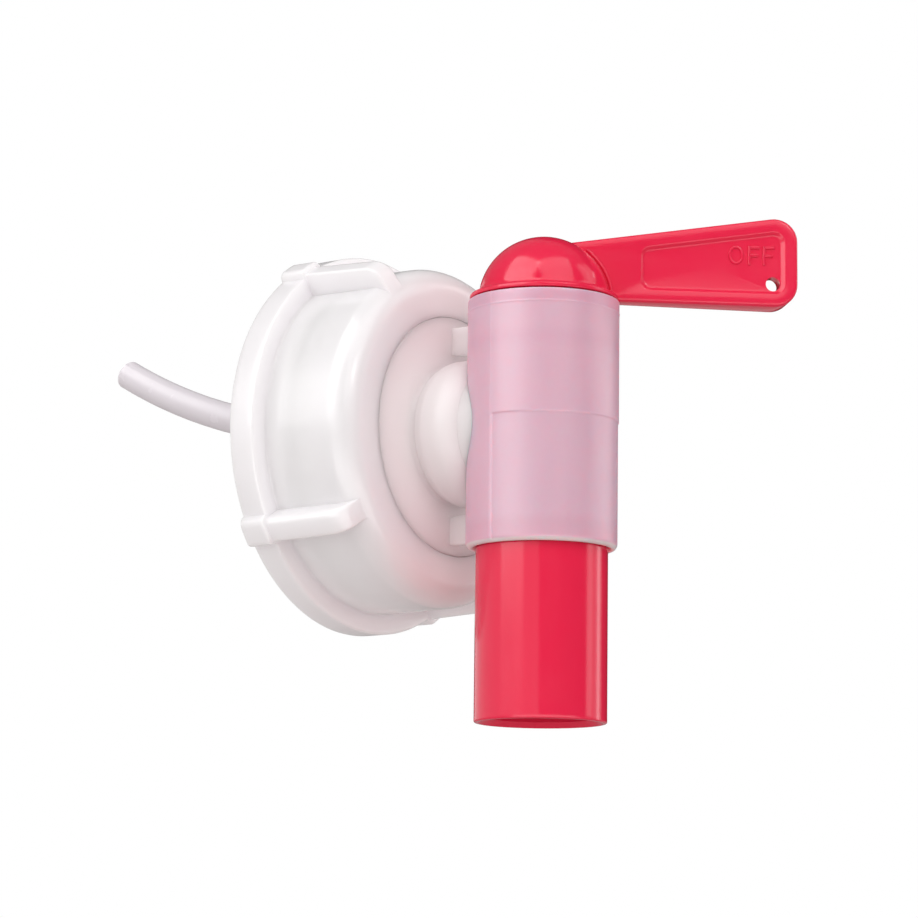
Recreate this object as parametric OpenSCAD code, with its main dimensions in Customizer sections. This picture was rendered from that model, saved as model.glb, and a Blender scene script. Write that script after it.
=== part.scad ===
// Canister tap: a screw cap that holds a tap body, a turning valve plug with its lever,
// the sealing ring behind the body's flange, and the stiff air tube that reaches into the canister.
// Frame: origin at the centre of the cap's mouth, +Y into the canister, +Z up along the barrel.
// Depths are measured forwards from the mouth, against +Y.

/* [Screw cap] */
// Outer radius of the flange round the cap's mouth
cap_flange_r = 35; // [34:0.1:38]
// Width of that flange along the cap's axis
cap_flange_w = 5.3; // [4:0.1:6.5]
// Outer radius of the side wall where it meets the flange
cap_wall_r = 31.3; // [31.1:0.1:32]
// Outer radius of the side wall where the front rounding starts
cap_front_r = 31.1; // [30.9:0.1:31.3]
// Depth of the whole cap
cap_depth = 23.65; // [22.5:0.05:28]
// Radius of the rounding between side wall and front
cap_round_r = 4.6; // [4:0.1:6]
// Inner radius that clears the canister's thread
thread_r = 29.7; // [29.2:0.1:29.8]
// Depth of the threaded bore
thread_depth = 15; // [12:0.1:16]
// Thickness of the inward lip at the front
lip_t = 3; // [2.4:0.1:4]

/* [Cap ribs] */
// Number of grip ribs round the cap
rib_count = 4; // [2:1:8]
// Angle of the first rib from the top, towards the left as seen from the front
rib_start = 33; // [0:1:60]
// Width of a rib
rib_w = 4; // [2.5:0.1:6]
// Radius of a rib's crest at the back
rib_back_r = 35.9; // [35.4:0.1:36.2]
// Radius of a rib's crest at the front
rib_front_r = 35; // [34.6:0.1:35.4]
// Radius of the rounding at a rib's front end
rib_round_r = 3.4; // [2.4:0.1:4]
// Distance of a rib's front end behind the cap's front
rib_in = 1.7; // [1.2:0.1:2.4]
// Width of the boss at a rib's back end
boss_w = 5.2; // [4:0.1:7]
// Length of that boss along the cap's axis
boss_l = 5.1; // [4:0.1:5.2]
// Radius of the boss's crest
boss_r = 36.5; // [36.2:0.1:37]
// Radius of the boss's rounded corners
boss_round_r = 1.4; // [0.5:0.1:2]

/* [Tap body] */
// Distance from the cap's mouth forwards to the barrel's axis
barrel_offset = 43.5; // [42:0.1:60]
// Outer radius of the upright sleeve
sleeve_r = 13.57; // [13.3:0.01:15]
// Height of the sleeve's top above the cap's axis
sleeve_top = 22.6; // [20:0.1:30]
// Depth of the sleeve's bottom below the cap's axis
sleeve_drop = 22.1; // [20:0.1:30]
// Radius of the rounded edge at the sleeve's bottom
sleeve_edge_r = 1; // [0.3:0.1:1.4]
// Height of the ledge across the sleeve's front
ledge_z = 0.6; // [-4:0.1:4]
// How far the front panel lies back below the ledge
ledge_step = 0.15; // [0.05:0.05:0.4]
// Outer radius of the hub that fills the cap's hole
hub_r = 21.6; // [20:0.1:22]
// Thickness of the hub's front plate
hub_plate = 2.4; // [1.8:0.1:3]
// Thickness of the flange clamped by the cap
flange_t = 2.4; // [2:0.1:3.4]
// Largest radius of the round neck
neck_r = 13.4; // [12.8:0.1:14]
// Radius of the neck's shoulder at the hub
neck_back_round = 3.3; // [2:0.1:4]
// Radius of the neck's shoulder towards the sleeve
neck_front_round = 6.4; // [3:0.1:7]
// Width of the neck's largest round, between its shoulders
neck_land = 1.7; // [0.4:0.1:2]
// Radius of the neck where it meets the sleeve
stem_r = 11.6; // [11:0.1:12.2]
// Radius of the liquid chamber inside the neck
chamber_r = 9.8; // [9.6:0.1:10]
// Thickness of the two braces between hub and sleeve
brace_t = 2; // [1:0.1:3]
// Height above and below the axis where a brace starts, at the hub
brace_start = 15; // [14.5:0.1:16]
// Height above and below the axis where a brace starts, at the sleeve
brace_start_front = 14; // [13:0.1:15]
// Height above and below the axis where a brace ends
brace_end = 20; // [18:0.1:20.5]

/* [Valve plug] */
// Outer radius of the barrel that turns in the sleeve
barrel_r = 11.9; // [11.4:0.01:12.1]
// Outer radius of the spout below the sleeve
spout_r = 11.75; // [11:0.01:12]
// Length of the spout below the sleeve
spout_l = 30.8; // [20:0.1:45]
// Wall thickness of the barrel and spout
plug_wall = 1.8; // [1.4:0.1:2]
// Height of the bevel inside the spout's mouth
mouth_bevel = 0.9; // [0.4:0.1:1.2]
// Radius of the relief groove between barrel and spout
groove_r = 11.4; // [11:0.05:11.5]
// Width of that groove, just inside the sleeve
groove_w = 1; // [0.6:0.1:1.5]
// Radius of the dome over the barrel
dome_r = 11.8; // [11.4:0.01:12.2]
// Radius of the collar that rides on the sleeve
collar_r = 13.3; // [12.6:0.1:13.5]
// Height of the collar's straight edge
collar_edge = 0.8; // [0.4:0.1:1]
// Height of the collar's slope up to the dome
collar_slope = 0.6; // [0.4:0.1:1.2]
// Radius of the liquid ports
port_r = 4.2; // [3.5:0.1:4.3]
// Depth of the liquid ports below the cap's axis
port_drop = 5.4; // [5.3:0.1:5.5]
// Distance of the air pipe's end above the spout's mouth
pipe_in = 12; // [2:0.5:20]
// Thickness of the wall between liquid below and air above
divider_t = 1.6; // [1:0.1:2]

/* [Lever] */
// Direction of the lever at rest, closed, measured from +X
lever_angle = -45; // [-60:1:-30]
// Reach of the lever from the barrel's axis
lever_l = 46; // [40:0.1:60]
// Half thickness of the blade at the barrel's axis
lever_root_t = 1.65; // [1.4:0.05:2.2]
// Half thickness of the blade at its tip
lever_tip_t = 3.15; // [2.3:0.05:3.5]
// Height of the blade's bottom edge above the sleeve's top
lever_lift = 0.4; // [0.4:0.1:1.5]
// Height of the blade's top edge above the sleeve's top, at the barrel's axis
lever_root_h = 10.2; // [9:0.1:11]
// Slope of the blade's top edge
lever_slope = 8.8; // [4:0.1:12]
// Radius of the tip's two corners
tip_round_r = 4.2; // [2:0.1:6]
// Distance of the sunk panel's start from the barrel's axis
panel_start = 17.1; // [15:0.1:20]
// Width of the rim left round the panel
panel_rim = 2.3; // [1.6:0.1:3]
// Depth of the panel
panel_depth = 0.7; // [0.3:0.05:1]
// Radius of the panel's corners
panel_round_r = 2; // [1:0.1:2.4]
// Radius of the tie hole
tie_hole_r = 1.65; // [1:0.05:1.8]
// Distance of the tie hole in from the tip
tie_hole_in = 4.7; // [4.4:0.1:6]
// Height of the tie hole above the blade's bottom edge
tie_hole_up = 4.1; // [3.8:0.1:6]

/* [Lettering] */
// Height of the raised letters
letter_h = 3.5; // [2:0.1:4.5]
// Width of a letter
letter_w = 2.6; // [1.6:0.1:3]
// Width of a letter's stroke
letter_stroke = 0.5; // [0.3:0.05:0.7]
// Space between two letters
letter_space = 0.4; // [0.2:0.05:0.8]
// How far the letters stand up from the panel
letter_raise = 0.3; // [0.1:0.05:0.5]
// Distance of the word's outer end in from the tip
word_in = 4.1; // [3:0.1:8]
// Height of the word's foot above the blade's bottom edge
word_up = 7.6; // [6:0.1:9]

/* [Flange gasket] */
// Thickness of the sealing ring
gasket_t = 2; // [1:0.1:2.6]
// Inner radius of the sealing ring
gasket_in_r = 22.5; // [20:0.1:25]

/* [Air tube] */
// Outer radius of the air tube
tube_r = 2.8; // [2.2:0.05:3]
// Wall thickness of the air tube
tube_wall = 1; // [0.6:0.05:1.2]
// Height of the air tube's seat above the cap's axis
tube_z = 3; // [3:0.1:3.6]
// Length of tube held in its socket
tube_seat = 7; // [5:0.1:9]
// Depth of the socket's mouth, where the tube enters
socket_mouth = 8; // [6:0.1:10]
// Radius of the tube's upward bend, which starts at the socket's mouth
tube_bend_r = 135; // [100:1:200]
// Angle through which the tube bends
tube_bend_a = 29; // [10:0.1:40]
// Wall round the socket and the air passage
socket_wall = 1.3; // [1.2:0.05:1.4]
// Radius of the air passages
air_r = 1.5; // [1:0.05:1.7]

/* [Fits] */
// Running clearance of the barrel in the sleeve, on radius
barrel_gap = 0.05; // [0.02:0.01:0.1]
// Clearance between parts that turn freely past each other
loose_gap = 0.3; // [0.2:0.05:0.5]
// Clearance of the air tube in its socket, on radius
tube_gap = 0.05; // [0.02:0.01:0.1]

/* [Hidden] */
$fn = 96;
cut = 0.5;
lip_back = cap_depth - lip_t;
relief_r = cap_front_r - lip_t;
cap_hole_r = hub_r + loose_gap;
flange_r = relief_r - loose_gap;
flange_front = lip_back - loose_gap;
flange_back = flange_front - flange_t;
gasket_back = flange_back - gasket_t;
bore_r = barrel_r + barrel_gap;
socket_r = tube_r + tube_gap;
socket_out_r = socket_r + socket_wall;
divider_top = tube_z - air_r - 0.4;
divider_low = divider_top - divider_t;
plug_in_r = barrel_r - plug_wall;
pipe_r = air_r + socket_wall / 2;
pipe_x = plug_in_r - air_r;
collar_z = sleeve_top + loose_gap;
spout_end = -sleeve_drop - spout_l;
pipe_end = spout_end + pipe_in;
blade_low = sleeve_top + lever_lift;
blade_top = sleeve_top + lever_root_h;

// Turns an outline of radius and depth round the cap's axis
module round_about_y() {
  rotate([90, 0, 0]) rotate_extrude() children();
}

// Rod along the cap's axis between two depths, at height z
module rod_y(r, from_depth, to_depth, z = 0) {
  translate([0, -from_depth, z]) rotate([90, 0, 0]) cylinder(r = r, h = to_depth - from_depth);
}

// Places its children on the barrel's axis
module at_barrel() {
  translate([0, -barrel_offset, 0]) children();
}

// Cap's outer outline, as radius and depth
module cap_outline() {
  round_in = cap_front_r - cap_round_r;
  round_at = cap_depth - cap_round_r;
  polygon([
    [0, 0], [cap_flange_r, 0], [cap_flange_r, cap_flange_w],
    [cap_wall_r, cap_flange_w], [cap_front_r, round_at],
    [round_in, round_at], [round_in, cap_depth], [0, cap_depth]
  ]);
  translate([round_in, round_at]) circle(r = cap_round_r);
}

// Side view of a rib, as radius and depth
module rib_outline() {
  end_at = cap_depth - rib_in;
  round_at = end_at - rib_round_r;
  front_r = rib_front_r - rib_round_r;
  foot_r = cap_front_r - cap_round_r;
  polygon([
    [foot_r, 0], [rib_back_r, 0], [rib_front_r, round_at],
    [front_r, round_at], [front_r, end_at], [foot_r, end_at]
  ]);
  translate([front_r, round_at]) circle(r = rib_round_r);
}

// Crest with two round corners, seen along the cap's axis
module boss_outline() {
  side = boss_w / 2;
  foot_r = cap_wall_r - 1;
  round_at = boss_r - boss_round_r;
  translate([-side, foot_r]) square([boss_w, round_at - foot_r]);
  translate([boss_round_r - side, foot_r]) square([boss_w - 2 * boss_round_r, boss_r - foot_r]);
  translate([boss_round_r - side, round_at]) circle(r = boss_round_r, $fn = 32);
  translate([side - boss_round_r, round_at]) circle(r = boss_round_r, $fn = 32);
}

// One rib with its boss, at the top of the cap
module cap_rib() {
  translate([-rib_w / 2, 0, 0]) rotate([0, -90, 180]) linear_extrude(rib_w) rib_outline();
  rotate([90, 0, 0]) linear_extrude(boss_l) boss_outline();
}

module screw_cap() {
  color([0.94, 0.93, 0.95]) difference() {
    union() {
      round_about_y() cap_outline();
      for (i = [0 : rib_count - 1]) {
        rotate([0, -rib_start - i * 360 / rib_count, 0]) cap_rib();
      }
    }
    rod_y(thread_r, -cut, thread_depth);
    rod_y(relief_r, -cut, lip_back);
    rod_y(cap_hole_r, -cut, cap_depth + cut);
  }
}

// Neck between hub and sleeve, as radius and depth
module neck_outline() {
  back_at = hub_face() + neck_back_round;
  front_at = back_at + neck_land;
  square([stem_r, barrel_offset]);
  translate([0, back_at]) square([neck_r, neck_land]);
  translate([neck_r - neck_back_round, back_at]) circle(r = neck_back_round);
  translate([neck_r - neck_front_round, front_at]) circle(r = neck_front_round);
}

// Depth of the hub's face, level with the cap's front
function hub_face() = cap_depth;

// Sleeve with a rounded bottom edge, as radius and height
module sleeve_outline() {
  edge_in = sleeve_r - sleeve_edge_r;
  edge_z = sleeve_edge_r - sleeve_drop;
  translate([0, -sleeve_drop]) square([edge_in, sleeve_top + sleeve_drop]);
  translate([0, edge_z]) square([sleeve_r, sleeve_top - edge_z]);
  translate([edge_in, edge_z]) circle(r = sleeve_edge_r, $fn = 32);
}

// Shallow step cut from the lower front half of the sleeve
module front_panel() {
  reach = sleeve_r + cut;
  difference() {
    translate([-reach, -reach, -sleeve_drop - cut])
      cube([2 * reach, reach, sleeve_drop + cut + ledge_z]);
    translate([0, 0, -sleeve_drop - 2 * cut])
      cylinder(r = sleeve_r - ledge_step, h = 2 * sleeve_drop);
  }
}

// Upper brace between hub and sleeve
module brace() {
  translate([-brace_t / 2, -hub_face(), 0]) rotate([90, 0, 90]) linear_extrude(brace_t) polygon([
    [cut, brace_start], [cut, brace_end], [hub_face() - barrel_offset, brace_end],
    [hub_face() - barrel_offset, brace_start_front]
  ]);
}

// Hub, flange, neck, braces and sleeve before the bores are cut
module body_shell() {
  difference() {
    union() {
      rod_y(flange_r, flange_back, flange_front);
      rod_y(hub_r, flange_back, hub_face());
    }
    rod_y(hub_r - flange_t, flange_back - cut, hub_face() - hub_plate);
  }
  intersection() {
    round_about_y() neck_outline();
    rod_y(2 * neck_r, flange_back, barrel_offset);
  }
  brace();
  mirror([0, 0, 1]) brace();
  at_barrel() rotate_extrude() sleeve_outline();
}

// Liquid chamber inside the neck, ending at the sleeve's wall
module neck_chamber() {
  difference() {
    rod_y(chamber_r, flange_back - cut, barrel_offset);
    at_barrel() translate([0, 0, -sleeve_drop]) cylinder(r = sleeve_r, h = sleeve_drop + sleeve_top);
  }
}

module tap_body() {
  color([0.93, 0.88, 0.9]) difference() {
    union() {
      difference() {
        body_shell();
        neck_chamber();
      }
      rod_y(socket_out_r, socket_mouth, barrel_offset - bore_r, tube_z);
    }
    at_barrel() front_panel();
    at_barrel() translate([0, 0, -sleeve_drop - cut])
      cylinder(r = bore_r, h = sleeve_drop + sleeve_top + 2 * cut);
    rod_y(port_r, barrel_offset - sleeve_r - cut, barrel_offset, -port_drop);
    rod_y(socket_r, socket_mouth - cut, socket_mouth + tube_seat, tube_z);
    rod_y(air_r, socket_mouth, barrel_offset, tube_z);
  }
}

module flange_gasket() {
  color([0.25, 0.25, 0.26]) difference() {
    rod_y(flange_r, gasket_back, flange_back);
    rod_y(gasket_in_r, gasket_back - cut, flange_back + cut);
  }
}

// Straight run in the socket, then the bend, both hollow
module air_tube() {
  color([0.92, 0.91, 0.93]) {
    difference() {
      rod_y(tube_r, socket_mouth, socket_mouth + tube_seat, tube_z);
      rod_y(tube_r - tube_wall, socket_mouth - cut, socket_mouth + tube_seat + cut, tube_z);
    }
    translate([0, -socket_mouth, tube_z + tube_bend_r]) rotate([0, 90, 0])
      rotate_extrude(angle = tube_bend_a) translate([tube_bend_r, 0]) difference() {
        circle(r = tube_r);
        circle(r = tube_r - tube_wall);
      }
  }
}

// Plate with a level foot, a sloping top and four round corners, as reach and height
module sloped_plate(from, to, foot, top, r) {
  drop = r / cos(lever_slope);
  top_in = top + (from + r) * tan(lever_slope) - drop;
  top_out = top + (to - r) * tan(lever_slope) - drop;
  polygon([
    [from + r, foot], [to - r, foot], [to, foot + r], [to, top_out],
    [to - r - r * sin(lever_slope), top_out + r * cos(lever_slope)],
    [from + r - r * sin(lever_slope), top_in + r * cos(lever_slope)],
    [from, top_in], [from, foot + r]
  ]);
  translate([from + r, foot + r]) circle(r = r, $fn = 48);
  translate([to - r, foot + r]) circle(r = r, $fn = 48);
  translate([to - r, top_out]) circle(r = r, $fn = 48);
  translate([from + r, top_in]) circle(r = r, $fn = 48);
}

// Stands an outline of reach and height up, centred on the blade
module stand_up(t) {
  translate([0, t / 2, 0]) rotate([90, 0, 0]) linear_extrude(t) children();
}

// Blade's thickness in plan, less the given amount on both faces
module blade_plan(less) {
  translate([0, 0, sleeve_top - cut]) linear_extrude(2 * dome_r) polygon([
    [0, less - lever_root_t], [lever_l + cut, less - lever_tip_t],
    [lever_l + cut, lever_tip_t - less], [0, lever_root_t - less]
  ]);
}

// Letter O, from the foot of its left side
module letter_o() {
  side = letter_w / 2;
  difference() {
    union() {
      translate([side, side]) circle(r = side, $fn = 32);
      translate([side, letter_h - side]) circle(r = side, $fn = 32);
      translate([0, side]) square([letter_w, letter_h - letter_w]);
    }
    translate([side, side]) circle(r = side - letter_stroke, $fn = 32);
    translate([side, letter_h - side]) circle(r = side - letter_stroke, $fn = 32);
    translate([letter_stroke, side]) square([letter_w - 2 * letter_stroke, letter_h - letter_w]);
  }
}

// Letter F
module letter_f() {
  square([letter_stroke, letter_h]);
  translate([0, letter_h - letter_stroke]) square([letter_w - letter_stroke, letter_stroke]);
  translate([0, (letter_h - letter_stroke) / 2]) square([letter_w - 2 * letter_stroke, letter_stroke]);
}

// Letter N
module letter_n() {
  square([letter_stroke, letter_h]);
  translate([letter_w - letter_stroke, 0]) square([letter_stroke, letter_h]);
  polygon([
    [0, letter_h], [letter_stroke, letter_h],
    [letter_w, 0], [letter_w - letter_stroke, 0]
  ]);
}

// OFF on the face seen when closed, ON on the other face
module words() {
  step = letter_w + letter_space;
  foot = blade_low + word_up;
  end = lever_l - word_in;
  translate([end - 3 * step + letter_space, 0, foot]) rotate([90, 0, 0])
    linear_extrude(lever_tip_t) {
      letter_o();
      translate([step, 0]) letter_f();
      translate([2 * step, 0]) letter_f();
    }
  translate([end, lever_tip_t, foot]) rotate([90, 0, 0]) linear_extrude(lever_tip_t)
    mirror([1, 0, 0]) {
      letter_o();
      translate([step, 0]) letter_n();
    }
}

// Lever blade along +X, before it is turned to its rest direction
module lever() {
  difference() {
    intersection() {
      stand_up(2 * lever_tip_t + 1) sloped_plate(0, lever_l, blade_low, blade_top, tip_round_r);
      blade_plan(0);
    }
    difference() {
      stand_up(2 * lever_tip_t + 2)
        sloped_plate(panel_start, lever_l - panel_rim, blade_low + panel_rim,
          blade_top - panel_rim / cos(lever_slope), panel_round_r);
      blade_plan(panel_depth);
    }
    translate([lever_l - tie_hole_in, 2 * lever_tip_t, blade_low + tie_hole_up])
      rotate([90, 0, 0]) cylinder(r = tie_hole_r, h = 4 * lever_tip_t);
  }
  intersection() {
    words();
    blade_plan(panel_depth - letter_raise);
  }
}

// Barrel, spout, collar and dome, as radius and height
module plug_outline() {
  groove_top = groove_w - sleeve_drop;
  polygon([
    [0, spout_end], [spout_r, spout_end], [spout_r, -sleeve_drop], [groove_r, -sleeve_drop],
    [groove_r, groove_top], [barrel_r, groove_top], [barrel_r, collar_z], [collar_r, collar_z],
    [collar_r, collar_z + collar_edge], [dome_r, collar_z + collar_edge + collar_slope],
    [0, collar_z + collar_edge + collar_slope]
  ]);
}

module valve_plug() {
  color([0.9, 0.16, 0.28]) at_barrel() difference() {
    union() {
      rotate_extrude() plug_outline();
      intersection() {
        translate([0, 0, sleeve_top]) sphere(r = dome_r);
        translate([0, 0, collar_z + cut]) cylinder(r = collar_r, h = dome_r);
      }
      rotate(lever_angle) lever();
    }
    difference() {
      translate([0, 0, spout_end - cut]) cylinder(r = plug_in_r, h = divider_low + cut - spout_end);
      translate([pipe_x, 0, pipe_end]) cylinder(r = pipe_r, h = divider_low - pipe_end);
    }
    translate([0, 0, spout_end - cut])
      cylinder(r1 = plug_in_r + mouth_bevel + cut, r2 = plug_in_r, h = mouth_bevel + cut);
    translate([0, 0, divider_top]) cylinder(r = plug_in_r, h = sleeve_top - divider_top);
    translate([0, 0, sleeve_top]) sphere(r = plug_in_r);
    translate([pipe_x, 0, pipe_end - cut]) cylinder(r = air_r, h = divider_top - pipe_end + 2 * cut);
    translate([0, 0, -port_drop]) rotate([0, -90, 0]) cylinder(r = port_r, h = 2 * barrel_r);
    translate([0, 0, tube_z]) rotate([0, -90, 0]) cylinder(r = air_r, h = 2 * barrel_r);
  }
}

screw_cap();
tap_body();
flange_gasket();
air_tube();
valve_plug();
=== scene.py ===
import math

import bmesh
import bpy
import numpy as np
from mathutils import Matrix, Vector


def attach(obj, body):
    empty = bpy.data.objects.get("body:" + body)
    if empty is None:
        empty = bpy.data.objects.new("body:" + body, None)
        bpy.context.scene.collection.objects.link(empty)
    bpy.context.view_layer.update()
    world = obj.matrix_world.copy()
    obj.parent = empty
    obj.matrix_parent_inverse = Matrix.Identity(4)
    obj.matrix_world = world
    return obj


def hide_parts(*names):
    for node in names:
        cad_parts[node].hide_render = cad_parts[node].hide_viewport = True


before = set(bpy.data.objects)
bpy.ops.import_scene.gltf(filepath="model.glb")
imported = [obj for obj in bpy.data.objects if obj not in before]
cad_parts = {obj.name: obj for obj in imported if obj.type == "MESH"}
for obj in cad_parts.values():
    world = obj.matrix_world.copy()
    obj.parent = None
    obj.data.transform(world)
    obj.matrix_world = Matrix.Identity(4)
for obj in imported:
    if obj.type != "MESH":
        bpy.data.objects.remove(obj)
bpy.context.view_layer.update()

# Canister tap in milky and red plastic. Shapes are worked out in millimetres and stored in metres.
MM = 0.001

# Sizes shared by several pieces, in millimetres, as in the solids
BARREL_OFFSET = 43.5
CAP_DEPTH = 23.65
SLEEVE_TOP = 22.6
SLEEVE_BOTTOM = -22.1
SLEEVE_R = 13.57
BORE_R = 11.95
WALL_MIDDLE_R = 12.8
SPOUT_END = -52.9
TUBE_Z = 3.0
LEVER_ANGLE = math.radians(-45)


# Camera, solved from the photograph's outlines
def make_camera():
    """Camera at a known place, from its right, up and backward unit directions."""
    right = Vector((0.603801, -0.797041, 0.012249))
    up = Vector((-0.134692, -0.086867, 0.987073))
    back = Vector((-0.785673, -0.597645, -0.159805))
    data = bpy.data.cameras.new("photo_camera")
    data.sensor_width = 36.0
    data.lens = 129.372
    data.clip_start, data.clip_end = 0.01, 20.0
    camera = bpy.data.objects.new("photo_camera", data)
    bpy.context.collection.objects.link(camera)
    turn = Matrix((right, up, back)).transposed().to_4x4()
    camera.matrix_world = Matrix.Translation((-0.4704015, -0.3826492, -0.0998678)) @ turn
    bpy.context.scene.camera = camera


# Outlines
def rounded(corners, arc_points=7, edge_points=1):
    """Closed outline through corners (x, y, radius): straight edges joined by arcs that touch both edges.

    Each arc is a weighted mean of its two end directions from its centre, and each edge
    is cut into edge_points equal lengths."""
    table = np.array(corners, float)
    corner, radius = table[:, :2], np.maximum(table[:, 2], 1e-4)
    before = corner - np.roll(corner, 1, 0)
    after = np.roll(corner, -1, 0) - corner
    before /= np.linalg.norm(before, axis=1)[:, None]
    after /= np.linalg.norm(after, axis=1)[:, None]
    turn = np.arccos(np.clip((before * after).sum(1), -1, 1))
    reach = radius * np.tan(turn / 2)
    start = corner - before * reach[:, None]
    end = corner + after * reach[:, None]
    middle = after - before
    middle /= np.linalg.norm(middle, axis=1)[:, None]
    centre = corner + middle * (radius / np.cos(turn / 2))[:, None]
    part = np.linspace(0, 1, arc_points)[None, :, None]
    angle = turn[:, None, None]
    near, far = (start - centre)[:, None], (end - centre)[:, None]
    arc = centre[:, None] + (np.sin((1 - part) * angle) * near + np.sin(part * angle) * far) / np.sin(angle)
    step = np.linspace(0, 1, edge_points + 1)[1:-1][None, :, None]
    edge = end[:, None] * (1 - step) + np.roll(start, -1, 0)[:, None] * step
    return np.concatenate([arc, edge], 1).reshape(-1, 2)


def arc(centre, radius, first, last, points):
    """Points on a circle from the first to the last angle in degrees."""
    angle = np.radians(np.linspace(first, last, points))
    return np.stack([centre[0] + radius * np.cos(angle), centre[1] + radius * np.sin(angle)], 1)


def densify(line, step):
    """The same line with extra points along it, at most step apart."""
    gap = np.linalg.norm(np.diff(line, axis=0), axis=1)
    along = np.concatenate([[0], np.cumsum(gap)])
    extra = np.linspace(0, along[-1], int(along[-1] / step) + 1)
    extra = extra[np.abs(extra[:, None] - along[None]).min(1) > step * 0.3]
    want = np.sort(np.concatenate([along, extra]))
    return np.stack([np.interp(want, along, line[:, k]) for k in (0, 1)], 1)


def smooth_step(value, low, high):
    """0 below low, 1 above high, and an S-curve between them."""
    part = np.clip((value - low) / (high - low), 0, 1)
    return part * part * (3 - 2 * part)


# Surfaces
def grid(points, close_rows=True, close_columns=True):
    """Corner points and four-sided faces of a rows by columns grid of points."""
    rows, columns = points.shape[:2]
    index = np.arange(rows * columns).reshape(rows, columns)
    if close_rows:
        index = np.concatenate([index, index[:1]], 0)
    if close_columns:
        index = np.concatenate([index, index[:, :1]], 1)
    quads = np.stack([index[:-1, :-1], index[1:, :-1], index[1:, 1:], index[:-1, 1:]], -1)
    return points.reshape(-1, 3), quads.reshape(-1, 4)


def turn_round_z(profile, angles, x=0.0, y=0.0, closed=True):
    """A profile of radius and height carried round an upright axis at x, y."""
    radius, height = profile[:, 0][None], profile[:, 1][None]
    angle = angles[:, None]
    points = [x + radius * np.cos(angle), y + radius * np.sin(angle), height + 0 * angle]
    return grid(np.stack(points, -1), True, closed)


def round_y_points(radius, depth, angle, z=0.0):
    """Points at a radius and an angle from the top, round an axis along Y, at a depth in front of the mouth."""
    return np.stack([-radius * np.sin(angle), -depth + 0 * angle, z + radius * np.cos(angle)], -1)


def turns(count):
    """Evenly spaced angles round a circle."""
    return np.linspace(0, 2 * math.pi, count, endpoint=False)


def joined(*surfaces):
    """Several surfaces as one list of points and faces."""
    points, faces, total = [], [], 0
    for some_points, some_faces in surfaces:
        points.append(some_points)
        faces.append(some_faces + total)
        total += len(some_points)
    return np.concatenate(points), np.concatenate(faces)


def make_object(name, surface, material=None, sharp=40):
    """A mesh object from points in millimetres, with doubles merged and faces turned outwards."""
    points, faces = surface
    mesh = bpy.data.meshes.new(name)
    mesh.from_pydata((points * MM).tolist(), [], faces.tolist())
    shape = bmesh.new()
    shape.from_mesh(mesh)
    bmesh.ops.remove_doubles(shape, verts=shape.verts, dist=2e-7)
    bmesh.ops.recalc_face_normals(shape, faces=shape.faces)
    shape.to_mesh(mesh)
    shape.free()
    mesh.shade_smooth()
    mesh.set_sharp_from_angle(angle=math.radians(sharp))
    thing = bpy.data.objects.new(name, mesh)
    bpy.context.collection.objects.link(thing)
    if material:
        mesh.materials.append(material)
    return thing


def combine(thing, others, operation="DIFFERENCE", sharp=40):
    """Takes the other solids out of a solid, or grows them together with it, and deletes the others."""
    for other in others:
        change = thing.modifiers.new("change", "BOOLEAN")
        change.operation, change.solver, change.object = operation, "EXACT", other
    graph = bpy.context.evaluated_depsgraph_get()
    made = bpy.data.meshes.new_from_object(thing.evaluated_get(graph))
    thing.modifiers.clear()
    thing.data = made
    made.shade_smooth()
    made.set_sharp_from_angle(angle=math.radians(sharp))
    for other in others:
        bpy.data.objects.remove(other)


def merge_objects(name, things):
    """Joins objects that share one material into a new object of that name."""
    mesh = bpy.data.meshes.new(name)
    shape = bmesh.new()
    for thing in things:
        shape.from_mesh(thing.data)
    shape.to_mesh(mesh)
    shape.free()
    for material in things[0].data.materials:
        mesh.materials.append(material)
    whole = bpy.data.objects.new(name, mesh)
    bpy.context.collection.objects.link(whole)
    for thing in things:
        bpy.data.objects.remove(thing)
    return whole


# Materials
def link(tree, source, target):
    tree.links.new(source, target)


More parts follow.
